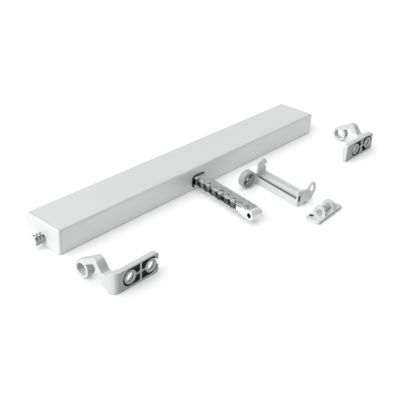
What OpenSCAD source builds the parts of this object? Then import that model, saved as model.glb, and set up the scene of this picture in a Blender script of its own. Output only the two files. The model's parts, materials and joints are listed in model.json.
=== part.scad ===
// Chain window actuator with its loose fittings.
// A slim housing lies on its base. A push chain comes out of its front face. Two pivot brackets, a sash
// bracket and a foot bracket lie beside it on the same surface.
// Origin: centre of the housing's base. +X along the housing, +Y towards its back, +Z up. Millimetres.

/* [Housing] */
// Length of the housing over both end caps
housing_length = 386; // [380:1:400]
// Depth of the housing, front to back
housing_width = 46.5; // [46:0.5:50]
// Height of the housing
housing_height = 25; // [25:0.5:27]
// Wall thickness of the aluminium profile
wall = 1.8; // [1.5:0.1:2]
// Radius of the profile's long outer edges
edge_radius = 2.4; // [1.5:0.1:3]
// Thickness of each end cap's face
cap_thickness = 3; // [2.5:0.5:4]

/* [Pivot stubs] */
// Diameter of the stubs on which the brackets swivel
stub_diameter = 10; // [9:0.5:10.5]
// Length of each stub beyond its end cap
stub_length = 10.5; // [8:0.5:12]
// Height of the stub axis above the base
stub_height = 9; // [8:0.5:10]

/* [Chain] */
// Distance between chain pins
pitch = 9.525; // [9.525:0.001:9.53]
// Angle at which the chain leans towards the left end
lean = 10; // [8:1:10]
// Height of the chain's middle plane above the base
chain_height = 10; // [10:0.1:10.3]
// Overall height of the chain over its outer plates
chain_depth = 10; // [10:0.1:10.2]
// Thickness of each link plate
plate_thickness = 1.2; // [1:0.1:1.2]
// How far the butting plate backs stand behind the pin line
plate_back = 9; // [8:0.5:9]
// Half height of a link plate on the roller side
plate_radius = 4.1; // [3.8:0.1:4.1]
// Diameter of the rollers
roller_diameter = 6.35; // [6:0.05:6.35]
// Diameter of the chain pins
chain_pin_diameter = 3.28; // [3:0.02:3.28]
// Teeth on the chain sprocket
sprocket_teeth = 9; // [9:1:9]

/* [Gearing] */
// Module of the spur gears
gear_module = 1; // [1:0.1:1]
// Teeth on the gear that shares the sprocket's shaft
output_teeth = 32; // [32:4:32]
// Teeth on the idler
idler_teeth = 20; // [20:4:20]
// Teeth on the pinion
pinion_teeth = 12; // [12:4:12]
// Axial pitch of the worm divided by pi
worm_module = 0.8; // [0.8:0.1:0.8]
// Teeth on the worm wheel
worm_wheel_teeth = 24; // [24:4:24]

/* [Pivot brackets] */
// Outer diameter of a bracket's ring
ring_diameter = 16.6; // [16:0.2:17]
// Bore of a bracket's ring
ring_bore = 11; // [10.6:0.1:11.4]
// Length of the ring along its axis
ring_length = 8; // [7.5:0.5:9]
// Width of the arm along the ring's axis
arm_width = 9.5; // [9:0.5:10]
// Distance of the ring's axis from the wall face
ring_reach = 39; // [38.5:0.5:40]
// Length of the left bracket over its plate
left_bracket_length = 51.5; // [51:0.5:53]
// Length of the right bracket over its plate
right_bracket_length = 54.5; // [54:0.5:56]
// Height of a bracket's plate
bracket_height = 20; // [20:0.5:21]
// Depth of a bracket's plate
bracket_depth = 5.5; // [5:0.5:6]
// Diameter of the screw holes in the pivot brackets
bracket_hole = 8.4; // [8:0.1:8.6]

/* [Sash bracket] */
// Length of the channel
sash_length = 66; // [64:1:70]
// Width of the channel
sash_width = 16; // [15:0.5:17]
// Height of the channel's far wall
sash_height = 10.4; // [10:0.2:11]
// Height of the channel's near wall
sash_near_height = 7.3; // [6.5:0.1:7.4]
// Height of the step beside the far wall
sash_step = 5.1; // [4.6:0.1:5.4]
// Sheet thickness of the channel and its ends
sash_sheet = 2; // [1.8:0.1:2.4]
// Diameter of the catch knob
knob_diameter = 19; // [18:0.5:20]

/* [Foot bracket] */
// Length of the base plate
foot_length = 46; // [44:1:48]
// Depth of the base plate
foot_width = 16; // [15:0.5:17]
// Thickness of the base plate
foot_thickness = 3; // [2.8:0.1:3.1]
// Clear gap between the two lugs
lug_gap = 13.8; // [13.6:0.1:14]
// Thickness of each lug
lug_thickness = 3; // [3:0.1:3.4]
// Diameter of the pin through the lugs
foot_pin_diameter = 5; // [4.8:0.1:5]

/* [Hidden] */
$fn = 48;
tiny = 0.01;        // overshoot of a cut past the face it goes through
run_clear = 0.05;   // radial clearance of a running fit
seat_clear = 0.1;   // clearance of a part that is held still

// Chain geometry
pitch_radius = pitch / (2 * sin(180 / sprocket_teeth));
wrap_step = 360 / sprocket_teeth;
sprocket_x = -26.4;
sprocket_y = -3.2;
tangent_x = sprocket_x + pitch_radius * cos(lean);
tangent_y = sprocket_y - pitch_radius * sin(lean);
plate_gap = 0.05;
outer_top = chain_height + chain_depth / 2;
outer_low = chain_height - chain_depth / 2;
inner_top = outer_top - plate_thickness - plate_gap;
inner_low = outer_low + plate_thickness + plate_gap;
roller_length = inner_top - inner_low - 2 * plate_thickness - 2 * plate_gap;
back_gap = 0.1;
rivet_diameter = 4;
rivet_height = 0.3;
run_outer = [1, 3, 5];
run_inner = [0, 2, 4, 6];
stored_wrapped = 2;
stored_straight = 7;
eye_offset = 7.35;
eye_bore = foot_pin_diameter + 0.2;
nose_radius = chain_depth / 2 - 0.15;

// Gear positions, all on a line through the sprocket along X
gear_low = 16.3;
gear_face = 3;
idler_x = sprocket_x + gear_module * (output_teeth + idler_teeth) / 2;
pinion_x = idler_x + gear_module * (idler_teeth + pinion_teeth) / 2;
wheel_radius = worm_module * worm_wheel_teeth / 2;
worm_radius = 3.6;
worm_thread = 0.7;
worm_y = sprocket_y + wheel_radius + worm_radius;
worm_z = 12.5;
wheel_face = 3.2;
worm_length = 18;
motor_x = 32;
motor_diameter = 20;
gearhead_length = 25;
motor_length = 42;

// Drive frame
frame_low = wall + 0.2;
frame_sheet = 1.6;
frame_roof = 20.8;
frame_left = -53;
frame_right = 30;
frame_half = 20;
pillar_places = [[-45, -16.5], [-49, 1], [25.5, -16.5], [0, 17]];

// Places of the loose fittings on the surface
left_bracket_at = [-201, -100.1];
right_bracket_at = [206, -98.6];
sash_at = [39, -53.9];
sash_turn = -100.7;
foot_at = [35.5, -145];
foot_turn = 3;
foot_pin_height = 5.8;
lug_radius = 6.7;
foot_hole = [15.4, 4.9];
boss_radius = 6.4;
seat_diameter = 10.8;
seat_depth = 2.3;
right_overhang = 2.5;
sash_sink = 1.2;

silver = [0.86, 0.87, 0.87];
cap_grey = [0.92, 0.93, 0.93];
steel = [0.72, 0.74, 0.74];
cast = [0.83, 0.84, 0.83];
black = [0.1, 0.1, 0.1];
brass = [0.78, 0.64, 0.33];

// A cylinder along X
module x_rod(d, l) { rotate([0, 90, 0]) cylinder(d = d, h = l); }

// A cylinder along Y
module y_rod(d, l) { rotate([-90, 0, 0]) cylinder(d = d, h = l); }

// A rectangle with true round corners, its lower left corner at the origin
module round_rect(w, h, r) {
    translate([r, 0]) square([w - 2 * r, h]);
    translate([0, r]) square([w, h - 2 * r]);
    for (x = [r, w - r], y = [r, h - r]) translate([x, y]) circle(r);
}

// A straight bar with round ends from point a to point b
module bar(a, b, w) {
    translate(a) rotate(atan2(b[1] - a[1], b[0] - a[0])) {
        translate([0, -w / 2]) square([norm(b - a), w]);
        circle(d = w);
        translate([norm(b - a), 0]) circle(d = w);
    }
}

// Puts a shape drawn in Y and Z along the X axis
module along_x(x, l) { translate([x, 0, 0]) rotate([90, 0, 90]) linear_extrude(l) children(); }

// Housing and end caps

module profile_outline(inset) {
    r = max(edge_radius - inset, 0.6);
    w = housing_width - 2 * inset;
    translate([-w / 2, inset]) round_rect(w, housing_height - 2 * inset, r);
}

// The chain slot's outline on the front face, grown by a margin
module slot_outline(margin) {
    slot_l = 19.4;
    slot_h = 13.4;
    translate([-22.9 - margin, 3.2 - margin]) round_rect(slot_l + 2 * margin, slot_h + 2 * margin, 4 + margin);
}

module front_cut(margin, depth) {
    translate([0, -housing_width / 2 + depth, 0]) rotate([90, 0, 0]) linear_extrude(depth + 1)
        slot_outline(margin);
}

module housing_profile() color(silver) difference() {
    l = housing_length - 2 * cap_thickness;
    along_x(-l / 2, l) difference() {
        profile_outline(0);
        difference() {
            profile_outline(wall);
            for (y = [-1, 1]) translate([y * (housing_width / 2 - wall) - 0.6, 14.4]) square([1.2, 1.2]);
        }
    }
    front_cut(0, wall + 1.4);
}

module end_cap(side) color(cap_grey) mirror([side < 0 ? 1 : 0, 0, 0]) difference() {
    union() {
        along_x(housing_length / 2 - cap_thickness, cap_thickness) profile_outline(0);
        along_x(housing_length / 2 - cap_thickness - 6, 6) difference() {
            profile_outline(wall + seat_clear);
            profile_outline(wall + 1.8);
            for (y = [-1, 1]) translate([y * (housing_width / 2 - wall) - 1, 14]) square([2, 2]);
        }
    }
    translate([housing_length / 2 - cap_thickness - 1, 0, stub_height]) x_rod(stub_diameter - 3, cap_thickness + 2);
}

module left_end_cap() end_cap(-1);
module right_end_cap() end_cap(1);

// A hollow stub whose spigot passes through the end cap and is held behind it by a collar
module pivot_stub() {
    face = housing_length / 2;
    spigot = stub_diameter - 3 - 2 * run_clear;
    translate([0, 0, stub_height]) difference() {
        union() {
            translate([face, 0, 0]) x_rod(stub_diameter, stub_length);
            translate([face - cap_thickness - 2, 0, 0]) x_rod(spigot, cap_thickness + 2 + tiny);
            translate([face - cap_thickness - 2, 0, 0]) x_rod(spigot + 2, 2);
        }
        translate([face - cap_thickness - 3, 0, 0]) x_rod(spigot - 2.4, stub_length + cap_thickness + 1.4);
    }
}

// Staggered slots that let the cable stub bend
module stub_slots() {
    rows = 4;
    slot = 1;
    translate([housing_length / 2, 0, stub_height]) for (row = [0:rows - 1], turn = [0:3])
        rotate([turn * 90 + (row % 2) * 45 + 20, 0, 0]) translate([1.8 + row * 2.1, -1.6, stub_diameter / 2 - 1.6])
            cube([slot, 3.2, 3]);
}

module cable_stub() color(cap_grey) mirror([1, 0, 0]) difference() {
    pivot_stub();
    stub_slots();
}
module right_pivot_stub() color(cap_grey) pivot_stub();

module chain_exit_bezel() color(black) difference() {
    intersection() {
        front_cut(-seat_clear, wall + 1.4);
        translate([-60, -housing_width / 2 - 0.3, 0]) cube([90, 4, housing_height]);
    }
    translate([tangent_x, tangent_y, 0]) rotate(-90 - lean) translate([8, -plate_radius - 1, outer_low - 0.9])
        cube([20, plate_radius + plate_back + 1.8, chain_depth + 1.8]);
}

// Drive frame

module frame_plate(z) {
    translate([frame_left, -frame_half, z]) cube([frame_right - frame_left, 2 * frame_half, frame_sheet]);
}
module frame_screw_holes(z) {
    for (p = pillar_places) translate([p[0], p[1], z - 1]) cylinder(d = 3.2, h = 5);
}
module drive_frame_lower() color(steel) difference() {
    frame_plate(frame_low);
    frame_screw_holes(frame_low);
    translate([sprocket_x, sprocket_y, 0]) cylinder(d = 9, h = 6);
    translate([pinion_x, sprocket_y, 0]) cylinder(d = 4 + 2 * run_clear, h = 6);
}
module drive_frame_upper() color(steel) difference() {
    frame_plate(frame_roof);
    frame_screw_holes(frame_roof);
    translate([sprocket_x, sprocket_y, frame_roof - 1]) cylinder(d = 9, h = 4);
    translate([pinion_x, sprocket_y, frame_roof - 1]) cylinder(d = 4 + 2 * run_clear, h = 4);
    translate([idler_x, sprocket_y, frame_roof - 1]) cylinder(d = 4, h = 4);
}
module frame_pillars() color(steel) for (p = pillar_places)
    translate([p[0], p[1], frame_low + frame_sheet]) difference() {
        cylinder(d = 6, h = frame_roof - frame_low - frame_sheet);
        translate([0, 0, -1]) cylinder(d = 2.5, h = 20);
    }
module frame_screws() color(steel) for (p = pillar_places) translate([p[0], p[1], 0]) {
    translate([0, 0, frame_roof + frame_sheet]) difference() {
        cylinder(d = 5, h = 0.7);
        translate([-0.4, -3, 0.3]) cube([0.8, 6, 1]);
    }
    translate([0, 0, frame_roof - 6]) cylinder(d = 2.4, h = 6 + frame_sheet);
}
module sprocket_bushes() color(brass) translate([sprocket_x, sprocket_y, 0]) difference() {
    union() {
        translate([0, 0, frame_low]) cylinder(d = 8.9, h = 2.6);
        translate([0, 0, gear_low + gear_face + 0.3]) cylinder(d = 8.9, h = 3);
    }
    cylinder(d = 6 + 2 * run_clear, h = 30);
}
module idler_axle() color(steel) translate([idler_x, sprocket_y, 0]) {
    translate([0, 0, gear_low - 0.8]) cylinder(d = 6, h = 0.7);
    translate([0, 0, gear_low - 0.2]) cylinder(d = 3.9, h = frame_roof - gear_low + 1.6);
}

// Motor, worm bearing and mount

module at_motor() { translate([motor_x, worm_y, worm_z]) children(); }

module motor_gearhead() color(steel) at_motor() difference() {
    x_rod(motor_diameter, gearhead_length);
    translate([-1, 0, 0]) x_rod(4, 11);
}
module motor_can() color(steel) at_motor() translate([gearhead_length, 0, 0]) intersection() {
    x_rod(motor_diameter, motor_length);
    translate([-1, -motor_diameter / 2, -motor_diameter / 2 + 1]) cube([60, motor_diameter, motor_diameter - 2]);
}
module motor_end_bell() color(black) at_motor() translate([gearhead_length + motor_length, 0, 0]) {
    x_rod(motor_diameter - 2, 3);
    for (z = [-5, 5]) translate([3, -1.5, z - 0.4]) cube([4, 3, 0.8]);
}
module motor_bracket() color(steel) difference() {
    translate([motor_x - 1.6, worm_y - 10.5, frame_low]) cube([1.5, 20.5, 19.5]);
    translate([motor_x - 3, worm_y, worm_z]) x_rod(6, 5);
}
module worm_bearing() color(brass) difference() {
    translate([1.2, worm_y - 2.4, frame_low + frame_sheet]) cube([3, 4.8, worm_z - frame_low - frame_sheet + 3]);
    translate([0, worm_y, worm_z]) x_rod(3 + 2 * run_clear, 6);
}

// Electronics

board_x = -184;
board_l = 118;
board_z = 5;
module circuit_board() color([0.1, 0.38, 0.2]) difference() {
    translate([board_x, -20.4, board_z]) cube([board_l, 22, 1.6]);
    for (x = [board_x + 5, board_x + board_l - 5]) translate([x, -9.4, board_z - 1]) cylinder(d = 3.2, h = 4);
}
module board_capacitors() color([0.15, 0.15, 0.2])
    for (i = [0:2]) translate([board_x + 34 + i * 12, -13, board_z + 1.6]) cylinder(d = 9, h = 13);
module board_relays() color([0.2, 0.3, 0.6])
    for (i = [0:1]) translate([board_x + 76 + i * 20, -18, board_z + 1.6]) cube([16, 12, 12]);
module terminal_block() color([0.15, 0.5, 0.3]) difference() {
    translate([board_x + 3, -18, board_z + 1.6]) cube([10, 18, 9]);
    for (i = [0:3]) translate([board_x + 8, -15.4 + i * 4.2, board_z + 6]) cylinder(d = 3, h = 8);
}
module limit_switches() color(black) for (x = [-110, -176]) translate([x, 2.3, 6]) {
    cube([12, 3.6, 6]);
    translate([4, 3.6, 2]) cube([1.6, 0.5, 2]);
}

// Rails that guide the stored chain along the back wall
module chain_magazine() color(black) {
    l = 125;
    far = housing_width / 2 - wall - 0.9;
    translate([-183, 2, frame_low]) cube([l, far - 2, 1.2]);
    difference() {
        translate([-183, far - 0.7, frame_low + 1.2]) cube([l, 0.7, 15]);
        for (i = [0:5]) translate([-176 + i * 20, far - 2, 9]) cube([12, 4, 3]);
    }
}

// Chain

// One link plate from the pin at the origin to the pin one pitch along +X, its straight back on the +Y side
module link_plate(z, hole) {
    translate([0, 0, z]) linear_extrude(plate_thickness) difference() {
        union() {
            for (x = [0, pitch]) translate([x, 0]) circle(plate_radius);
            translate([0, 1 - plate_radius]) square([pitch, plate_radius]);
            translate([-pitch / 2 + back_gap / 2, 0]) square([2 * pitch - back_gap, plate_back]);
        }
        for (x = [0, pitch]) translate([x, 0]) circle(d = hole);
    }
}
module outer_plates() {
    hole = chain_pin_diameter + 0.02;
    link_plate(outer_top - plate_thickness, hole);
    link_plate(outer_low, hole);
}
module inner_plates() {
    hole = chain_pin_diameter + 2 * run_clear;
    link_plate(inner_top - plate_thickness, hole);
    link_plate(inner_low, hole);
}
module chain_roller() translate([0, 0, chain_height - roller_length / 2]) difference() {
    cylinder(d = roller_diameter, h = roller_length);
    translate([0, 0, -1]) cylinder(d = chain_pin_diameter + 2 * run_clear, h = roller_length + 2);
}
module link_rollers() for (x = [0, pitch]) translate([x, 0, 0]) chain_roller();
module chain_pin() {
    translate([0, 0, outer_low]) cylinder(d = chain_pin_diameter, h = chain_depth);
    for (z = [outer_low - rivet_height, outer_top]) translate([0, 0, z]) cylinder(d = rivet_diameter, h = rivet_height);
}
module link_pins() for (x = [0, pitch]) translate([x, 0, 0]) chain_pin();

// Puts children at a pin of the straight chain, counted outwards from the sprocket, +X outwards
module on_run(pin) translate([tangent_x, tangent_y, 0]) rotate(-90 - lean) translate([pin * pitch, 0, 0]) children();

// Place of a stored pin, counted inwards from the tangent point
function stored_pin(i) = i <= stored_wrapped
    ? [sprocket_x + pitch_radius * cos(i * wrap_step - lean), sprocket_y + pitch_radius * sin(i * wrap_step - lean)]
    : stored_pin(stored_wrapped) - [(i - stored_wrapped) * pitch, 0];

// Puts children at stored pin i, +X towards the pin before it
module on_stored(i) {
    a = stored_pin(i);
    b = stored_pin(i - 1);
    translate([a[0], a[1], 0]) rotate(atan2(b[1] - a[1], b[0] - a[0])) children();
}
stored_links = stored_wrapped + stored_straight;

module stored_chain_outer_plates() color(steel) for (i = [1:2:stored_links]) on_stored(i) outer_plates();
module stored_chain_inner_plates() color(steel) for (i = [2:2:stored_links]) on_stored(i) inner_plates();
module stored_chain_rollers() color(steel) for (i = [2:2:stored_links]) on_stored(i) link_rollers();
module stored_chain_pins() color(steel) for (i = [1:2:stored_links]) on_stored(i) link_pins();

module chain_run_inner_plates() color(steel) for (k = run_inner) on_run(k) inner_plates();
module chain_run_outer_plates() color(steel) for (k = run_outer) on_run(k) outer_plates();
module chain_run_rollers() color(steel) for (k = run_inner) on_run(k) link_rollers();
module chain_run_pins() color(steel) for (k = run_outer) on_run(k) link_pins();
module chain_link_1_plates() color(steel) on_run(7) outer_plates();
module chain_link_1_pins() color(steel) on_run(7) link_pins();
module chain_link_2_plates() color(steel) on_run(8) inner_plates();
module chain_link_2_roller() color(steel) on_run(8) chain_roller();
module chain_link_3_plates() color(steel) on_run(9) outer_plates();
module chain_link_3_pins() color(steel) on_run(9) link_pins();

// Solid block riveted between the last two plates. A tongue reaches back to the pin before the last one, and
// its nose has an eye that runs across the chain.
module chain_end_block() color(silver) on_run(10) difference() {
    step = pitch / 2 + 0.1;
    side = -plate_radius - 0.3;
    width = plate_back - side;
    shoulder = 0.4 - pitch / 2;
    union() {
        translate([shoulder, side, inner_low]) cube([step - shoulder, width, inner_top - inner_low]);
        translate([step, side, outer_low + 0.15]) cube([eye_offset - step, width, 2 * nose_radius]);
        intersection() {
            translate([eye_offset, side, chain_height]) y_rod(2 * nose_radius, width);
            translate([step, side, 0]) cube([20, width, 30]);
        }
        translate([0, 0, chain_height - roller_length / 2]) linear_extrude(roller_length) {
            translate([-pitch, 0]) circle(-side);
            translate([-pitch, side]) square([pitch, -2 * side]);
        }
    }
    for (x = [0, -pitch]) translate([x, 0, 0]) cylinder(d = chain_pin_diameter + 2 * run_clear, h = 30);
    translate([eye_offset, side - 1, chain_height]) y_rod(eye_bore, width + 2);
}

// Sprocket and gears

module at_sprocket() translate([sprocket_x, sprocket_y, 0]) children();

// The seats are cut where the rollers lie. Pin 0 is the tangent point.
module sprocket() color(steel) at_sprocket() difference() {
    translate([0, 0, chain_height - 2.1]) cylinder(r = pitch_radius + 0.6, h = 4.2);
    for (i = [0:sprocket_teeth - 1]) rotate(i * wrap_step - lean) {
        translate([pitch_radius, 0, 0]) cylinder(d = roller_diameter + 0.3, h = 20);
        for (s = [-1, 1]) translate([pitch_radius, 0, 0]) rotate(s * 24) translate([0, -roller_diameter / 2 - 0.15, 0])
            cube([6, roller_diameter + 0.3, 20]);
    }
    cylinder(d = 6, h = 30);
}
module sprocket_shaft() color(steel) at_sprocket() translate([0, 0, frame_low]) cylinder(d = 5.99, h = 20.2);

// A spur gear with straight-flanked teeth and backlash, one tooth on +X
module spur_gear(teeth, m, face, bore, share = 0.42) {
    r = m * teeth / 2;
    tip = r + 0.9 * m;
    root = r - 1.15 * m;
    half = share * PI * m / 2;
    linear_extrude(face) difference() {
        union() {
            circle(root);
            for (i = [0:teeth - 1]) rotate(i * 360 / teeth)
                polygon([[root - 0.3, half * 1.45], [r, half], [tip, half * 0.5],
                         [tip, -half * 0.5], [r, -half], [root - 0.3, -half * 1.45]]);
        }
        circle(d = bore);
    }
}
module output_gear() color(steel) at_sprocket() translate([0, 0, gear_low]) spur_gear(output_teeth, gear_module, gear_face, 6);
module idler_gear() color(brass) translate([idler_x, sprocket_y, gear_low]) rotate(180 / idler_teeth)
    spur_gear(idler_teeth, gear_module, gear_face, 3.9 + 2 * run_clear);
module pinion() color(steel) translate([pinion_x, sprocket_y, gear_low])
    spur_gear(pinion_teeth, gear_module, gear_face, 4);
module intermediate_shaft() color(steel) translate([pinion_x, sprocket_y, frame_low]) cylinder(d = 3.99, h = 20.2);
module worm_wheel() color(brass) translate([pinion_x, sprocket_y, worm_z - wheel_face / 2]) rotate(90)
    spur_gear(worm_wheel_teeth, worm_module, wheel_face, 4, 0.34);

// Single-start worm: an off-centre disc carried along a screw line, with a plain shaft each side
module worm() color(steel) translate([pinion_x - worm_length / 2, worm_y, worm_z]) {
    turns = worm_length / (PI * worm_module);
    rotate([0, 90, 0]) rotate(90 - 180 * turns) linear_extrude(worm_length, twist = -360 * turns, slices = 90)
        translate([worm_thread, 0]) circle(worm_radius - 0.15, $fn = 28);
    translate([-6, 0, 0]) x_rod(3, 6.1);
    translate([worm_length - 0.1, 0, 0]) x_rod(3.9, motor_x - pinion_x - worm_length / 2 + 10);
}

// Pivot brackets

// Side outline of a bracket's arm: Y from the wall face, Z up. It rises from the wall face, bends over and
// runs down to the ring.
module bracket_arm() {
    ring = [ring_reach, ring_diameter / 2];
    bend = [24.4, 19.5];
    bend_radius = 6;
    strap = 5.4;
    strap_out = [0.46, 0.888];
    arm_out = [-0.784, 0.621];
    arm_foot = [11.4, 8];
    circle_at(ring, ring_diameter / 2);
    bar(bend + (bend_radius - strap / 2) * strap_out, ring + (ring_diameter - strap) / 2 * strap_out, strap);
    bar(bend + (bend_radius - strap / 2) * arm_out, arm_foot, strap);
    intersection() {
        circle_at(bend, bend_radius);
        polygon([bend, bend + 12 * strap_out, bend + [0, 14], bend + 12 * arm_out]);
    }
    bar(arm_foot, [5, 5.5], 8);
    square([bracket_depth + 1, bracket_height]);
    polygon([[5, bracket_height - 0.4], [5, 6], [11.6, 6], [14.6, 15.2], [9, 16.6]]);
}
module circle_at(p, r) { translate(p) circle(r); }

// Pockets in the wall face, between the rims round the screw holes and the ribs, drawn in X and Z
module bracket_pockets(bosses, rib_run) {
    middle = bracket_height / 2;
    centre = (bosses[0] + bosses[1]) / 2;
    difference() {
        bar([bosses[0], middle], [bosses[1], middle], bracket_height - 3.4);
        for (x = bosses) circle_at([x, middle], boss_radius);
        bar([bosses[0], middle], [bosses[1], middle], 1.4);
        for (s = rib_run == 0 ? [1] : [-1, 1])
            bar([centre - s * rib_run, middle - 9], [centre + s * rib_run, middle + 9], 1.4);
    }
}

// A bracket drawn with its ring's outer face at X = 0 and its plate towards +X. With an overhang the plate
// also runs out past the arm on the other side.
module pivot_bracket(bosses, length, rib_run, overhang = 0) {
    boss_z = bracket_height / 2;
    end_round = 8;
    plate_start = overhang > 0 ? -overhang : end_round;
    outline_start = overhang > 0 ? -overhang : -end_round;
    difference() {
        union() {
            along_x(0, ring_length) circle_at([ring_reach, ring_diameter / 2], ring_diameter / 2);
            intersection() {
                along_x(0, arm_width) bracket_arm();
                linear_extrude(60) difference() {
                    union() {
                        translate([end_round, 0]) square([30, 60]);
                        translate([0, end_round]) square([30, 60]);
                        circle_at([end_round, end_round], end_round);
                    }
                    translate([ring_length, ring_reach - 9]) square([20, 30]);
                }
            }
            translate([0, bracket_depth, 0]) rotate([90, 0, 0]) linear_extrude(bracket_depth) intersection() {
                translate([plate_start, 0]) square([length + overhang, bracket_height]);
                translate([outline_start, 0]) round_rect(length - outline_start, bracket_height, 3);
            }
        }
        translate([-1, ring_reach, ring_diameter / 2]) x_rod(ring_bore, 30);
        translate([0, -tiny, 0]) rotate([90, 0, 0]) mirror([0, 0, 1]) linear_extrude(bracket_depth - 1)
            bracket_pockets(bosses, rib_run);
        for (x = bosses) translate([x, 0, boss_z]) {
            translate([0, -1, 0]) y_rod(bracket_hole, bracket_depth + 2);
            translate([0, bracket_depth - seat_depth, 0]) y_rod(seat_diameter, 24);
        }
    }
}
left_bosses = [19.3, 43.1];
right_bosses = [7.9, 33.9];
module left_bracket() color(cast) translate([left_bracket_at[0], left_bracket_at[1], 0])
    pivot_bracket(left_bosses, left_bracket_length, 0);
module right_bracket() color(cast) translate([right_bracket_at[0], right_bracket_at[1], 0]) mirror([1, 0, 0])
    pivot_bracket(right_bosses, right_bracket_length, 2.6, right_overhang);

// Sash bracket, drawn along +X from its catch end, its far side on +Y

module at_sash() translate([sash_at[0], sash_at[1], 0]) rotate(sash_turn) children();
knob_centre = [-13.5, 9.5];

module sash_bracket() color(cast) at_sash() {
    trough = 7.3;
    difference() {
        rotate([90, 0, 90]) linear_extrude(sash_length) difference() {
            square([sash_width, sash_height]);
            translate([-1, sash_near_height]) square([sash_width - sash_sheet + 1, sash_height]);
            translate([sash_sheet, sash_sheet]) square([trough - sash_sheet, sash_height]);
            translate([trough - 1, sash_step]) square([sash_width - sash_sheet - trough + 1, sash_height]);
            translate([trough + sash_sheet, -1])
                square([sash_width - 2 * sash_sheet - trough, sash_step - sash_sheet + 1]);
        }
        for (x = [14, 52]) translate([x, 4.65, -1]) cylinder(d = 4.3, h = 10);
    }
    // catch end: an ear on the far side and a lug for the knob on the near side
    rotate([90, 0, 90]) linear_extrude(sash_sheet + 0.6) difference() {
        union() {
            square([sash_width, 6]);
            translate([4.4, 4]) square([11.6, 14.6]);
            circle_at([10.4, 18.6], 6.1);
            bar([4, 5.5], knob_centre, 8);
            circle_at(knob_centre, 5.5);
        }
        circle_at(knob_centre, 2.05);
        translate([14, 15.6]) square([4, 3]);
    }
    // far end: an end plate with a sunk slot, a sunk round seat and a small hole, and a tab with a long hole
    difference() {
        translate([sash_length - sash_sheet, 0, 0]) rotate([90, 0, 90]) linear_extrude(sash_sheet) difference() {
            union() {
                round_rect(10.5, 17, 2.4);
                translate([0, 3]) square([sash_width, sash_height - 3]);
                polygon([[6, 2], [20, 2.6], [25.4, 13], [14.5, 17.4], [8, 16]]);
                bar([20, 13.6], [20, 17], 11);
            }
            circle_at([2.6, 2.7], 0.9);
            bar([20, 14], [20, 17], 4.4);
        }
        along_x(sash_length - sash_sink, sash_sheet) {
            translate([1.6, 5.2]) square([2.6, 6.4]);
            circle_at([6.4, 13.4], 2.2);
        }
    }
}

// Knob with a hollow face, a slot across the hollow and two grooves round its rim
module sash_catch_knob() color(cast) at_sash() translate([sash_sheet + 0.9, knob_centre[0], knob_centre[1]])
    difference() {
        x_rod(knob_diameter, 7);
        for (x = [1.8, 4]) translate([x, 0, 0]) difference() {
            x_rod(knob_diameter + 1, 0.7);
            translate([-1, 0, 0]) x_rod(knob_diameter - 1.2, 3);
        }
        translate([4.6, 0, 0]) x_rod(knob_diameter - 4, 5);
        rotate([37, 0, 0]) translate([2.2, -6.5, -1.4]) cube([5, 13, 2.8]);
        translate([-1, 0, 0]) x_rod(4 + 2 * run_clear, 20);
    }
module sash_catch_pin() color(steel) at_sash() translate([0, knob_centre[0], knob_centre[1]]) {
    translate([-0.9, 0, 0]) x_rod(6.4, 0.9);
    x_rod(4, 6.6);
}

// Foot bracket, drawn round its base centre with the pin along X

module at_foot() translate([foot_at[0], foot_at[1], 0]) rotate(foot_turn) children();

module foot_bracket() color(cast) at_foot() difference() {
    union() {
        translate([-foot_length / 2, -foot_width / 2, 0]) linear_extrude(foot_thickness)
            round_rect(foot_length, foot_width, 3);
        for (s = [-1, 1]) along_x(s > 0 ? lug_gap / 2 : -lug_gap / 2 - lug_thickness, lug_thickness) {
            intersection() {
                circle_at([0, foot_pin_height], lug_radius);
                translate([-lug_radius, 0.5]) square(2 * lug_radius);
            }
            translate([-lug_radius, 1]) square([2 * lug_radius, foot_pin_height - 1]);
            translate([-foot_width / 2 + 1, 1]) square([foot_width - 2, foot_thickness + 0.5]);
        }
    }
    translate([-30, 0, foot_pin_height]) x_rod(foot_pin_diameter + 2 * run_clear, 60);
    for (s = [-1, 1]) translate([s * foot_hole[0], foot_hole[1], -1]) cylinder(d = 4.4, h = 20);
}
pin_head = 0.9;
pin_reach = lug_gap / 2 + lug_thickness;
module foot_pin() color(steel) at_foot() translate([0, 0, foot_pin_height]) difference() {
    union() {
        translate([-pin_reach - pin_head, 0, 0]) x_rod(5.4, pin_head);
        translate([-pin_reach, 0, 0]) x_rod(foot_pin_diameter, 2 * pin_reach + 3);
    }
    translate([pin_reach + 0.7, 0, 0]) difference() {
        x_rod(foot_pin_diameter + 1, 0.9);
        translate([-1, 0, 0]) x_rod(foot_pin_diameter - 1.2, 3);
    }
}

housing_profile();
left_end_cap();
right_end_cap();
cable_stub();
right_pivot_stub();
chain_exit_bezel();
drive_frame_lower();
drive_frame_upper();
frame_pillars();
frame_screws();
sprocket_bushes();
idler_axle();
motor_can();
motor_gearhead();
motor_end_bell();
motor_bracket();
worm_bearing();
circuit_board();
board_capacitors();
board_relays();
terminal_block();
limit_switches();
chain_magazine();
stored_chain_outer_plates();
stored_chain_inner_plates();
stored_chain_rollers();
stored_chain_pins();
sprocket();
sprocket_shaft();
output_gear();
idler_gear();
pinion();
intermediate_shaft();
worm_wheel();
worm();
chain_run_inner_plates();
chain_run_outer_plates();
chain_run_rollers();
chain_run_pins();
chain_link_1_plates();
chain_link_1_pins();
chain_link_2_plates();
chain_link_2_roller();
chain_link_3_plates();
chain_link_3_pins();
chain_end_block();
left_bracket();
right_bracket();
sash_bracket();
sash_catch_knob();
sash_catch_pin();
foot_bracket();
foot_pin();
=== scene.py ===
"""Chain window actuator with its loose fittings: looks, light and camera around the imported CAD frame."""
import json
import math

import bmesh
import bpy
from mathutils import Matrix, Vector


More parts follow.
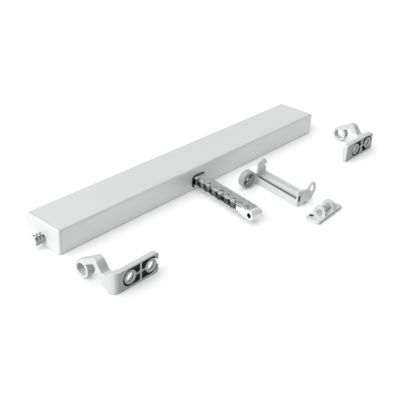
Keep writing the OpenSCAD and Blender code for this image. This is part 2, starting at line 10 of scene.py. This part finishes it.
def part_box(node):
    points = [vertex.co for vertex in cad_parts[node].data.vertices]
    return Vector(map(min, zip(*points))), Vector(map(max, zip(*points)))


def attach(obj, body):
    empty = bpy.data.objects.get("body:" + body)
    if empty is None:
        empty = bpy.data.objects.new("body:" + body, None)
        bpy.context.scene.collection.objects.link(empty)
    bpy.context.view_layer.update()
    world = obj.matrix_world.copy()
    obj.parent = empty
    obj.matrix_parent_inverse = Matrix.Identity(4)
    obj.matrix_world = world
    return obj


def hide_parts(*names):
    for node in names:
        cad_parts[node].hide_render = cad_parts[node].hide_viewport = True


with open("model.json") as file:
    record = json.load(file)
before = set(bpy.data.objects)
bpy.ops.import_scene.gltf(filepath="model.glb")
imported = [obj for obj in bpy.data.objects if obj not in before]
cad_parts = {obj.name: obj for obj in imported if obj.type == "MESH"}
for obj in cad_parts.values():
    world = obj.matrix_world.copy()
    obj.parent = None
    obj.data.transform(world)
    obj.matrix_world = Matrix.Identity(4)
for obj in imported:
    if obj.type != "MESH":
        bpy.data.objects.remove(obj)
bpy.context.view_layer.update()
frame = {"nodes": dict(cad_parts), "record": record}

MM = 0.001
IMAGE_SIDE = 400


# ---------------------------------------------------------------- materials

class Nodes:
    """Builds one procedural node material, a few nodes at a time."""

    def __init__(self, name):
        self.material = bpy.data.materials.new(name)
        self.material.use_nodes = True
        self.tree = self.material.node_tree
        self.shader = self.tree.nodes["Principled BSDF"]
        self.place = self.add("ShaderNodeTexCoord").outputs["Object"]

    def add(self, kind, **values):
        node = self.tree.nodes.new(kind)
        for key, value in values.items():
            setattr(node, key, value)
        return node

    def join(self, output, target):
        self.tree.links.new(output, target)

    def scaled(self, stretch):
        mapping = self.add("ShaderNodeMapping")
        mapping.inputs["Scale"].default_value = stretch
        self.join(self.place, mapping.inputs["Vector"])
        return mapping.outputs["Vector"]

    def noise(self, scale, detail=3.0, stretch=(1, 1, 1)):
        node = self.add("ShaderNodeTexNoise")
        node.inputs["Scale"].default_value = scale
        node.inputs["Detail"].default_value = detail
        self.join(self.scaled(stretch), node.inputs["Vector"])
        return node.outputs["Fac"]

    def ramp(self, factor, low, high, start=0.3, end=0.7):
        node = self.add("ShaderNodeValToRGB")
        node.color_ramp.elements[0].position = start
        node.color_ramp.elements[0].color = low
        node.color_ramp.elements[1].position = end
        node.color_ramp.elements[1].color = high
        self.join(factor, node.inputs["Fac"])
        return node.outputs["Color"]

    def blend(self, factor, first, second):
        node = self.add("ShaderNodeMix", data_type="RGBA")
        self.join(factor, node.inputs["Factor"])
        for value, socket in ((first, node.inputs["A"]), (second, node.inputs["B"])):
            if isinstance(value, tuple):
                socket.default_value = value
            else:
                self.join(value, socket)
        return node.outputs["Result"]

    def spread(self, factor, low, high):
        node = self.add("ShaderNodeMapRange")
        node.inputs["To Min"].default_value = low
        node.inputs["To Max"].default_value = high
        self.join(factor, node.inputs["Value"])
        return node.outputs["Result"]

    def facing(self, direction, start):
        """0 to 1 as the object's own surface normal turns into one direction."""
        dot = self.add("ShaderNodeVectorMath", operation="DOT_PRODUCT")
        self.join(self.add("ShaderNodeTexCoord").outputs["Normal"], dot.inputs[0])
        dot.inputs[1].default_value = direction
        spread = self.add("ShaderNodeMapRange")
        spread.inputs["From Min"].default_value = start
        self.join(dot.outputs["Value"], spread.inputs["Value"])
        return spread.outputs["Result"]

    def bump(self, height, strength, distance):
        node = self.add("ShaderNodeBump")
        node.inputs["Strength"].default_value = strength
        node.inputs["Distance"].default_value = distance
        self.join(height, node.inputs["Height"])
        self.join(node.outputs["Normal"], self.shader.inputs["Normal"])


def grey(level, tint=(0.0, 0.0, 0.0)):
    return (level + tint[0], level + tint[1], level + tint[2], 1.0)


COOL = (-0.012, 0.002, 0.0)


def anodised(name, base):
    """Satin anodised aluminium: fine lines along the extrusion and faint clouding."""
    n = Nodes(name)
    lines = n.noise(900, 2, (0.02, 1, 1))
    clouds = n.noise(18, 4)
    n.join(n.blend(clouds, grey(base, COOL), grey(base + 0.03, COOL)), n.shader.inputs["Base Color"])
    n.shader.inputs["Metallic"].default_value = 0.25
    n.join(n.spread(lines, 0.42, 0.5), n.shader.inputs["Roughness"])
    n.bump(lines, 0.06, 0.0001)
    return n.material


def moulded(name, low, high, roughness=0.5, grain=700):
    """Moulded plastic with a fine spark-eroded grain."""
    n = Nodes(name)
    n.join(n.blend(n.noise(60, 4), low, high), n.shader.inputs["Base Color"])
    fine = n.noise(grain, 3)
    n.join(n.spread(fine, roughness - 0.06, roughness + 0.06), n.shader.inputs["Roughness"])
    n.bump(fine, 0.12, 0.0001)
    return n.material


def die_cast(name, low, high, roughness=0.45, metallic=0.15, shade_paint_colour=None):
    """Coated zinc die casting with orange peel and flow marks; the optional last colour is painted shade,
    blended onto the faces turned towards -Y.
    """
    n = Nodes(name)
    colour = n.blend(n.noise(90, 4, (1, 1, 2)), low, high)
    # Painted shade: faces turned towards -Y blend into the darker colour.
    if shade_paint_colour:
        colour = n.blend(n.facing((0, -1, 0), 0.72), colour, shade_paint_colour)
    n.join(colour, n.shader.inputs["Base Color"])
    n.shader.inputs["Metallic"].default_value = metallic
    n.join(n.spread(n.noise(240, 3), roughness - 0.08, roughness + 0.1), n.shader.inputs["Roughness"])
    n.bump(n.noise(520, 3), 0.1, 0.0002)
    return n.material


def plated(name, low, high, roughness, wear=0.12, metallic=0.9):
    """Nickel or zinc plated steel with blanking marks and small dull patches."""
    n = Nodes(name)
    patches = n.noise(260, 5)
    n.join(n.ramp(patches, low, high, 0.36, 0.6), n.shader.inputs["Base Color"])
    n.shader.inputs["Metallic"].default_value = metallic
    n.join(n.spread(patches, roughness - wear / 2, roughness + wear), n.shader.inputs["Roughness"])
    n.bump(n.noise(900, 2), 0.12, 0.0001)
    return n.material


def pale_floor(name):
    """Matt paper sweep with a hardly visible tooth."""
    n = Nodes(name)
    n.join(n.blend(n.noise(4, 2), grey(0.90), grey(0.92)), n.shader.inputs["Base Color"])
    n.shader.inputs["Roughness"].default_value = 0.9
    n.shader.inputs["Emission Color"].default_value = grey(1.0)
    n.shader.inputs["Emission Strength"].default_value = 0.1
    n.bump(n.noise(300, 3), 0.03, 0.0002)
    return n.material


MATERIALS = {
    "profile_aluminium": anodised("profile_aluminium", 0.73),
    "cap_plastic": moulded("cap_plastic", grey(0.72, COOL), grey(0.75, COOL)),
    "bezel_plastic": moulded("bezel_plastic", grey(0.012), grey(0.022), 0.4),
    "frame_steel": plated("frame_steel", grey(0.42), grey(0.55), 0.35),
    "bush_brass": plated("bush_brass", (0.52, 0.38, 0.14, 1), (0.66, 0.5, 0.22, 1), 0.3),
    "motor_steel": plated("motor_steel", grey(0.44), grey(0.55), 0.32),
    "black_plastic": moulded("black_plastic", grey(0.02), grey(0.035)),
    "board_green": moulded("board_green", (0.02, 0.12, 0.04, 1), (0.03, 0.16, 0.06, 1), 0.35),
    "terminal_green": moulded("terminal_green", (0.03, 0.22, 0.08, 1), (0.04, 0.27, 0.1, 1)),
    "relay_blue": moulded("relay_blue", (0.03, 0.07, 0.25, 1), (0.04, 0.09, 0.3, 1), 0.3),
    "gear_steel": plated("gear_steel", grey(0.38), grey(0.5), 0.3),
    "chain_steel": plated("chain_steel", grey(0.52, COOL), grey(0.70, COOL), 0.3, metallic=0.66),
    # chain_inner_steel and roller_steel are dark as painted shade between the chain plates.
    "chain_inner_steel": plated("chain_inner_steel", grey(0.2, COOL), grey(0.4, COOL), 0.22),
    "chain_pin_steel": plated("chain_pin_steel", grey(0.5, COOL), grey(0.8, COOL), 0.2),
    "roller_steel": plated("roller_steel", grey(0.05, COOL), grey(0.22, COOL), 0.14),
    "block_zinc": plated("block_zinc", grey(0.74, COOL), grey(0.86, COOL), 0.3, metallic=0.35),
    # cast_zinc carries painted shade on its faces turned towards -Y.
    "cast_zinc": die_cast("cast_zinc", grey(0.66, COOL), grey(0.71, COOL), metallic=0.3,
                          shade_paint_colour=grey(0.36, COOL)),
    "sash_zinc": die_cast("sash_zinc", grey(0.63, COOL), grey(0.69, COOL), 0.4),
    # Near-black painted shade for the deep pockets, slots and bores of the castings.
    "cast_painted_deep_shade": die_cast("cast_painted_deep_shade", grey(0.06, COOL), grey(0.11, COOL), 0.7),
    "knob_rim": die_cast("knob_rim", grey(0.41, COOL), grey(0.48, COOL), 0.4),
    # Grey painted shade on the -Y side of the cable stub.
    "stub_painted_shade_side": moulded("stub_painted_shade_side", grey(0.3, COOL), grey(0.4, COOL), 0.6),
    # Painted shade on the knob's recessed face.
    "knob_painted_recess_shade": die_cast("knob_painted_recess_shade", grey(0.30, COOL), grey(0.37, COOL), 0.6),
    # Mid-grey painted shade for hole walls, the knob slot and the sash trough.
    "cast_shade": die_cast("cast_shade", grey(0.22, COOL), grey(0.32, COOL), 0.7),
    # Near-black painted shade for the chain eye bore.
    "block_painted_bore_shade": plated("block_painted_bore_shade", grey(0.03), grey(0.06), 0.4),
    # Near-black painted shade for the floors of the stub's slots.
    "stub_painted_slot_shade": moulded("stub_painted_slot_shade", grey(0.012), grey(0.03), 0.6),
    "fitting_pin_steel": plated("fitting_pin_steel", grey(0.5), grey(0.68), 0.3),
}

slot_of = {row["node"]: row["material_slot"] for row in frame["record"]["subparts"]}
for node_name, cad_object in frame["nodes"].items():
    cad_object.data.materials.clear()
    cad_object.data.materials.append(MATERIALS[slot_of[node_name]])


# ---------------------------------------------------------------- pieces

body_of_node = {}
for body_name, node_names in frame["record"]["behaviour"]["bodies"].items():
    for node_name in node_names:
        body_of_node[node_name] = body_name


def smooth_copy(node, voxel, passes, factor=0.5):
    """A cast look for a CAD node: its own mesh, remeshed and relaxed until every edge is slightly round."""
    source = frame["nodes"][node]
    copy = bpy.data.objects.new(node + "_cast", source.data.copy())
    bpy.context.scene.collection.objects.link(copy)
    copy.matrix_world = source.matrix_world.copy()
    remesh = copy.modifiers.new("remesh", "REMESH")
    remesh.mode = "VOXEL"
    remesh.voxel_size = voxel
    remesh.use_smooth_shade = True
    relax = copy.modifiers.new("relax", "SMOOTH")
    relax.factor = factor
    relax.iterations = passes
    graph = bpy.context.evaluated_depsgraph_get()
    mesh = bpy.data.meshes.new_from_object(copy.evaluated_get(graph))
    copy.modifiers.clear()
    copy.data = mesh
    for polygon in mesh.polygons:
        polygon.use_smooth = True
    mesh.materials.clear()
    mesh.materials.append(MATERIALS[slot_of[node]])
    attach(copy, body_of_node[node])
    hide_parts(node)
    return copy


# node: (voxel size, smoothing passes)
CAST_NODES = {
    "left_bracket": (0.45 * MM, 8),
    "right_bracket": (0.45 * MM, 8),
    "sash_bracket": (0.4 * MM, 3),
    "sash_catch_knob": (0.3 * MM, 2),
    "foot_bracket": (0.35 * MM, 5),
    "chain_end_block": (0.25 * MM, 3),
}
cast = {node: smooth_copy(node, voxel, passes) for node, (voxel, passes) in CAST_NODES.items()}


def darken(obj, material, inside):
    """Gives the faces whose centre passes the test a darker material of their own; most calls use it for
    painted shade in hollows, bores, slots and troughs.
    """
    obj.data.materials.append(MATERIALS[material])
    slot = len(obj.data.materials) - 1
    for polygon in obj.data.polygons:
        if inside(polygon.center):
            polygon.material_index = slot


class PivotBracket:
    """Places on a pivot bracket: along its plate from one end, and in depth from the wall."""

    PLATE_MIDDLE = 10 * MM
    PLATE_EDGES = (1.2 * MM, 18.8 * MM)
    POCKET_DEPTHS = (0.9 * MM, 4.9 * MM)
    POCKET_ENDS = (1.3 * MM, 1.0 * MM)
    POCKET_REACH = 9 * MM
    BOSS_RADIUS = 5.7 * MM
    HOLE_DEPTHS = (0.7 * MM, 12 * MM)
    HOLE_RADIUS = 4.5 * MM

    def __init__(self, node, mirrored, holes, length):
        self.low, self.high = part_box(node)
        self.mirrored = mirrored
        self.holes = holes
        self.length = length

    def place(self, point):
        along = self.high[0] - point.x if self.mirrored else point.x - self.low[0]
        depth = point.y - self.low[1]
        from_hole = min(math.hypot(along - hole, point.z - self.PLATE_MIDDLE) for hole in self.holes)
        return along, depth, from_hole

    def in_pocket(self, point):
        along, depth, from_hole = self.place(point)
        first_end, last_end = self.POCKET_ENDS
        on_plate = first_end < along < self.length - last_end
        between_edges = self.PLATE_EDGES[0] < point.z < self.PLATE_EDGES[1]
        near_holes = self.holes[0] - self.POCKET_REACH < along < self.holes[1] + self.POCKET_REACH
        sunk = self.POCKET_DEPTHS[0] < depth < self.POCKET_DEPTHS[1]
        return on_plate and between_edges and near_holes and sunk and from_hole >= self.BOSS_RADIUS

    def in_hole(self, point):
        depth, from_hole = self.place(point)[1:]
        return from_hole < self.HOLE_RADIUS and self.HOLE_DEPTHS[0] < depth < self.HOLE_DEPTHS[1]


PIVOT_BRACKETS = {
    "left_bracket": PivotBracket("left_bracket", False, (19.3 * MM, 43.1 * MM), 51.5 * MM),
    "right_bracket": PivotBracket("right_bracket", True, (10.4 * MM, 36.4 * MM), 57 * MM),
}
# Painted shade: near black in the plate pockets, mid grey on the hole walls.
for node_name, plate in PIVOT_BRACKETS.items():
    darken(cast[node_name], "cast_painted_deep_shade", plate.in_pocket)
    darken(cast[node_name], "cast_shade", plate.in_hole)

SASH_TURN = math.radians(-100.7)
SASH_ALONG = Vector((math.cos(SASH_TURN), math.sin(SASH_TURN), 0))
SASH_ACROSS = Vector((-math.sin(SASH_TURN), math.cos(SASH_TURN), 0))
SASH_CORNER = Vector((39 * MM, -53.9 * MM, 0))
KNOB_ACROSS = -13.5 * MM
KNOB_HEIGHT = 9.5 * MM


def sash_box(along_mm, across_mm, height_mm):
    """A test for a box in the sash bracket's own directions, each side given as (low, high)."""
    def inside(point):
        place = point - SASH_CORNER
        reach = (place.dot(SASH_ALONG), place.dot(SASH_ACROSS), point.z)
        sides = (along_mm, across_mm, height_mm)
        return all(low * MM < value < high * MM for value, (low, high) in zip(reach, sides))
    return inside


def knob_disc(along_mm, radius_mm):
    """A test for a disc round the knob's axis, its two faces given as (low, high)."""
    def inside(point):
        place = point - SASH_CORNER
        along, across = place.dot(SASH_ALONG), place.dot(SASH_ACROSS)
        from_axis = math.hypot(across - KNOB_ACROSS, point.z - KNOB_HEIGHT)
        return along_mm[0] * MM < along < along_mm[1] * MM and from_axis < radius_mm * MM
    return inside


darken(cast["sash_catch_knob"], "knob_rim", lambda point: True)
# Painted shade on the knob's recessed face.
darken(cast["sash_catch_knob"], "knob_painted_recess_shade", knob_disc((7.3, 9.6), 7.7))
# Painted shade in the knob's slot.
darken(cast["sash_catch_knob"], "cast_shade", knob_disc((3.4, 7.35), 7.2))
# Painted shade along the sash bracket's trough and the strip of plateau beside it.
darken(cast["sash_bracket"], "cast_shade", sash_box((2.8, 63.7), (1.9, 8.5), (0.1, 5.4)))
# Painted shade in the slot of the sash bracket's end plate.
darken(cast["sash_bracket"], "cast_painted_deep_shade", sash_box((64.4, 65.8), (1.2, 4.6), (5.0, 11.9)))

mounts = {mount["name"]: mount for mount in frame["record"]["mounts"]}


def bore_test(mount_name, radius, bright_edge=0.25 * MM):
    """A test for the wall of the bore that a mount describes, leaving out the edge at either end."""
    mount = mounts[mount_name]
    centre, axis = Vector(mount["pos_m"]), Vector(mount["axis"]).normalized()
    half = mount["dims"]["length_mm"] * MM / 2

    def inside(point):
        arm = point - centre
        run = arm.dot(axis)
        return abs(run) < half - bright_edge and (arm - run * axis).length < radius
    return inside


# Painted shade inside the chain end block's eye bore.
darken(cast["chain_end_block"], "block_painted_bore_shade", bore_test("chain_eye", 2.75 * MM))
# Painted shade inside the foot bracket's screw bores.
for screw in ("foot_screw_1", "foot_screw_2"):
    darken(cast["foot_bracket"], "cast_painted_deep_shade", bore_test(screw, 2.45 * MM))


def new_piece(name, shape, material, body, node):
    """A bmesh turned into a piece that stands for one CAD node."""
    mesh = bpy.data.meshes.new(name)
    shape.normal_update()
    shape.to_mesh(mesh)
    shape.free()
    mesh.materials.append(MATERIALS[material])
    obj = bpy.data.objects.new(name, mesh)
    bpy.context.scene.collection.objects.link(obj)
    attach(obj, body)
    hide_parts(node)
    return obj


def rim(half_width, low, high, radius, corner_steps=8):
    """Points of a rounded rectangle in Y and Z, counterclockwise."""
    points = []
    corners = ((half_width - radius, high - radius, 0), (-half_width + radius, high - radius, 90),
               (-half_width + radius, low + radius, 180), (half_width - radius, low + radius, 270))
    for y, z, start in corners:
        for step in range(corner_steps + 1):
            angle = math.radians(start + 90 * step / corner_steps)
            points.append((y + radius * math.cos(angle), z + radius * math.sin(angle)))
    return points


def bridge(shape, first, second):
    """Quads between two rings of as many vertices."""
    quads = []
    for i in range(len(first)):
        j = (i + 1) % len(first)
        quads.append(shape.faces.new((first[i], first[j], second[j], second[i])))
    return quads


def end_cap(node, side):
    """A moulded cap with a rounded rim, lofted from the joint line to the flat end face."""
    low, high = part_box(node)
    thick, rounding, rounding_steps = 3 * MM, 1.7 * MM, 6
    corner, least_corner = 2.4 * MM, 0.6 * MM
    joint_gap, joint_run = 0.25 * MM, 0.2 * MM
    outer = high[0] if side > 0 else -low[0]
    half = (high[1] - low[1]) / 2
    stations = [(outer - thick, joint_gap), (outer - thick + joint_run, 0.0), (outer - rounding, 0.0)]
    for step in range(1, rounding_steps + 1):
        angle = math.radians(90 * step / rounding_steps)
        stations.append((outer - rounding + rounding * math.sin(angle), rounding * (1 - math.cos(angle))))
    shape = bmesh.new()
    loops = []
    for x, inset in stations:
        ring = rim(half - inset, low[2] + inset, high[2] - inset, max(corner - inset * 0.6, least_corner))
        loops.append([shape.verts.new((side * x, y, z)) for y, z in ring])
    for first, second in zip(loops, loops[1:]):
        bridge(shape, first, second)
    shape.faces.new(loops[0])
    shape.faces.new(loops[-1])
    bmesh.ops.recalc_face_normals(shape, faces=shape.faces)
    cap = new_piece(node + "_moulded", shape, "cap_plastic", body_of_node[node], node)
    for polygon in cap.data.polygons:
        polygon.use_smooth = len(polygon.vertices) == 4


end_cap("left_end_cap", -1)
end_cap("right_end_cap", 1)


STUB_ROWS = 5
STUB_SLOTS = 6
STUB_SECTORS = 36
STUB_PLAIN_SECTORS = 2
STUB_SLOT_DEPTH = 1.5 * MM


def stub_profile(length, radius):
    """Stations of the left stub, as distance from the end cap and radius: slot edges, then the dome."""
    first_slot, row_pitch, slot_run, dome = 1.0 * MM, 1.75 * MM, 1.05 * MM, 0.6 * MM
    cuts = [0.0]
    for row in range(STUB_ROWS):
        cuts += [first_slot + row * row_pitch, first_slot + row * row_pitch + slot_run]
    cuts += [length - dome]
    tip = [(length - 0.2 * MM, radius - 0.2 * MM), (length, radius - 0.7 * MM)]
    return [(x, radius) for x in cuts] + tip


def slot_of_sector(row, sector):
    """Number of the slot a sector belongs to in one row, or None between slots and on the lower side."""
    per_slot = STUB_SECTORS // STUB_SLOTS
    stagger = per_slot // 2 if row % 2 else 0
    shifted = (sector + stagger) % STUB_SECTORS
    least_rise = 0.45
    upward = math.sin(2 * math.pi * (sector + 0.5) / STUB_SECTORS) > least_rise
    if upward and shifted % per_slot < per_slot - STUB_PLAIN_SECTORS:
        return shifted // per_slot
    return None


def slotted_stub(node):
    """The left stub: staggered slots along its top whose floors are painted near black as shade, a domed
    end, and painted shade on its -Y side.
    """
    low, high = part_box(node)
    radius = (high[1] - low[1]) / 2
    middle_y, middle_z = (high[1] + low[1]) / 2, (high[2] + low[2]) / 2
    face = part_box("left_end_cap")[0][0]
    length = face - low[0]
    shape = bmesh.new()
    loops = []
    for x, r in stub_profile(length, radius):
        loops.append([shape.verts.new((face - x, middle_y + r * math.cos(2 * math.pi * i / STUB_SECTORS),
                                       middle_z + r * math.sin(2 * math.pi * i / STUB_SECTORS)))
                      for i in range(STUB_SECTORS)])
    slot_faces = {}
    for number, (first, second) in enumerate(zip(loops, loops[1:])):
        quads = bridge(shape, first, second)
        row = (number - 1) // 2
        if number % 2 == 0 or row >= STUB_ROWS:
            continue
        for sector, quad in enumerate(quads):
            slot = slot_of_sector(row, sector)
            if slot is not None:
                slot_faces.setdefault((row, slot), []).append(quad)
    shape.faces.new(loops[-1])
    bmesh.ops.recalc_face_normals(shape, faces=shape.faces)
    for quads in slot_faces.values():
        sunk = bmesh.ops.extrude_face_region(shape, geom=quads)["geom"]
        bmesh.ops.delete(shape, geom=quads, context="FACES_ONLY")
        for item in sunk:
            if isinstance(item, bmesh.types.BMVert):
                arm = Vector((0, item.co.y - middle_y, item.co.z - middle_z))
                item.co -= arm.normalized() * STUB_SLOT_DEPTH
    least_sunk, surface_depth, tip_run = 0.3 * MM, 0.2 * MM, 0.7 * MM
    # Painted shade: sunk slot faces get near black, surface faces on the -Y side a grey.
    for quad in shape.faces:
        centre = quad.calc_center_median()
        depth = radius - math.hypot(centre.y - middle_y, centre.z - middle_z)
        if depth > least_sunk and face - centre.x < length - tip_run:
            quad.material_index = 1
        elif centre.y - middle_y < -0.5 * radius and depth < surface_depth:
            quad.material_index = 2
    stub = new_piece("cable_stub_slotted", shape, "cap_plastic", body_of_node[node], node)
    stub.data.materials.append(MATERIALS["stub_painted_slot_shade"])
    stub.data.materials.append(MATERIALS["stub_painted_shade_side"])


slotted_stub("cable_stub")

CHAIN_BEVEL_MM = 0.12
BEVELS_MM = {"right_pivot_stub": 0.4, "chain_exit_bezel": 0.25, "foot_pin": 0.3, "sash_catch_pin": 0.3}
BEVELS_MM.update((name, CHAIN_BEVEL_MM) for name in (
    "chain_run_outer_plates", "chain_run_inner_plates", "chain_run_pins", "chain_link_1_plates",
    "chain_link_1_pins", "chain_link_2_plates", "chain_link_3_plates", "chain_link_3_pins"))
for node_name, width_mm in BEVELS_MM.items():
    bevel = frame["nodes"][node_name].modifiers.new("bevel", "BEVEL")
    bevel.width = width_mm * MM
    bevel.segments = 2
    bevel.limit_method = "ANGLE"
    bevel.angle_limit = math.radians(35)
    bevel.harden_normals = False


# ---------------------------------------------------------------- floor, light, camera

def floor():
    """A wide sheet just under the parts."""
    side_half, drop = 6.0, 0.0002
    mesh = bpy.data.meshes.new("floor")
    shape = bmesh.new()
    bmesh.ops.create_grid(shape, x_segments=4, y_segments=4, size=side_half)
    shape.to_mesh(mesh)
    shape.free()
    plane = bpy.data.objects.new("floor", mesh)
    plane.location.z = -drop
    mesh.materials.append(pale_floor("floor_paper"))
    bpy.context.scene.collection.objects.link(plane)


def aim(obj, direction):
    obj.rotation_euler = Vector(direction).to_track_quat("-Z", "Y").to_euler()


def sun(name, towards, strength, angle):
    lamp = bpy.data.lights.new(name, "SUN")
    lamp.energy = strength
    lamp.angle = math.radians(angle)
    obj = bpy.data.objects.new(name, lamp)
    bpy.context.scene.collection.objects.link(obj)
    aim(obj, towards)


def sky():
    """Pale surroundings, darker in patches and towards one side, for the plated steel to reflect."""
    world = bpy.data.worlds.new("studio")
    bpy.context.scene.world = world
    world.use_nodes = True
    tree = world.node_tree
    background = tree.nodes["Background"]
    place = tree.nodes.new("ShaderNodeTexCoord")
    wave = tree.nodes.new("ShaderNodeTexNoise")
    wave.inputs["Scale"].default_value = 2.2
    wave.inputs["Detail"].default_value = 1.0
    ramp = tree.nodes.new("ShaderNodeValToRGB")
    ramp.color_ramp.elements[0].position = 0.40
    ramp.color_ramp.elements[0].color = (0.25, 0.26, 0.26, 1)
    ramp.color_ramp.elements[1].position = 0.52
    ramp.color_ramp.elements[1].color = (1, 1, 1, 1)
    tree.links.new(place.outputs["Generated"], wave.inputs["Vector"])
    tree.links.new(wave.outputs["Fac"], ramp.inputs["Fac"])
    axes = tree.nodes.new("ShaderNodeSeparateXYZ")
    fall = tree.nodes.new("ShaderNodeMapRange")
    fall.inputs["From Min"].default_value = -1.0
    fall.inputs["From Max"].default_value = 0.1
    fall.inputs["To Min"].default_value = 0.12
    fall.inputs["To Max"].default_value = 1.0
    shade = tree.nodes.new("ShaderNodeVectorMath")
    shade.operation = "MULTIPLY"
    tree.links.new(place.outputs["Generated"], axes.inputs["Vector"])
    tree.links.new(axes.outputs["Y"], fall.inputs["Value"])
    tree.links.new(ramp.outputs["Color"], shade.inputs[0])
    tree.links.new(fall.outputs["Result"], shade.inputs[1])
    tree.links.new(shade.outputs["Vector"], background.inputs["Color"])
    background.inputs["Strength"].default_value = 0.85


CAMERA_PLACE = (-0.51665, -0.45215, 0.35083)
CAMERA_AZIMUTH, CAMERA_ELEVATION, CAMERA_ROLL = -49.8123, 28.8851, 2.6804
CAMERA_FOCAL = 726.449
SENSOR_WIDTH = 36


def camera():
    """A camera at a fixed place; its focal length is given for a picture IMAGE_SIDE wide."""
    azimuth, elevation, roll = (math.radians(a) for a in (CAMERA_AZIMUTH, CAMERA_ELEVATION, CAMERA_ROLL))
    back = Vector((math.sin(azimuth) * math.cos(elevation), -math.cos(azimuth) * math.cos(elevation),
                   math.sin(elevation)))
    right = (-back).cross(Vector((0, 0, 1))).normalized()
    up = back.cross(right)
    turned_right = math.cos(roll) * right + math.sin(roll) * up
    turned_up = math.cos(roll) * up - math.sin(roll) * right
    data = bpy.data.cameras.new("camera")
    data.sensor_width = SENSOR_WIDTH
    data.lens = CAMERA_FOCAL * data.sensor_width / IMAGE_SIDE
    obj = bpy.data.objects.new("camera", data)
    rotation = Matrix((turned_right, turned_up, back)).transposed()
    obj.matrix_world = Matrix.Translation(CAMERA_PLACE) @ rotation.to_4x4()
    bpy.context.scene.collection.objects.link(obj)
    bpy.context.scene.camera = obj


floor()
sky()
sun("key", (0.82, -0.05, -0.56), 1.45, 50)
sun("top", (0.1, -0.12, -1.0), 1.0, 80)
camera()
bpy.context.scene.view_settings.view_transform = "Standard"
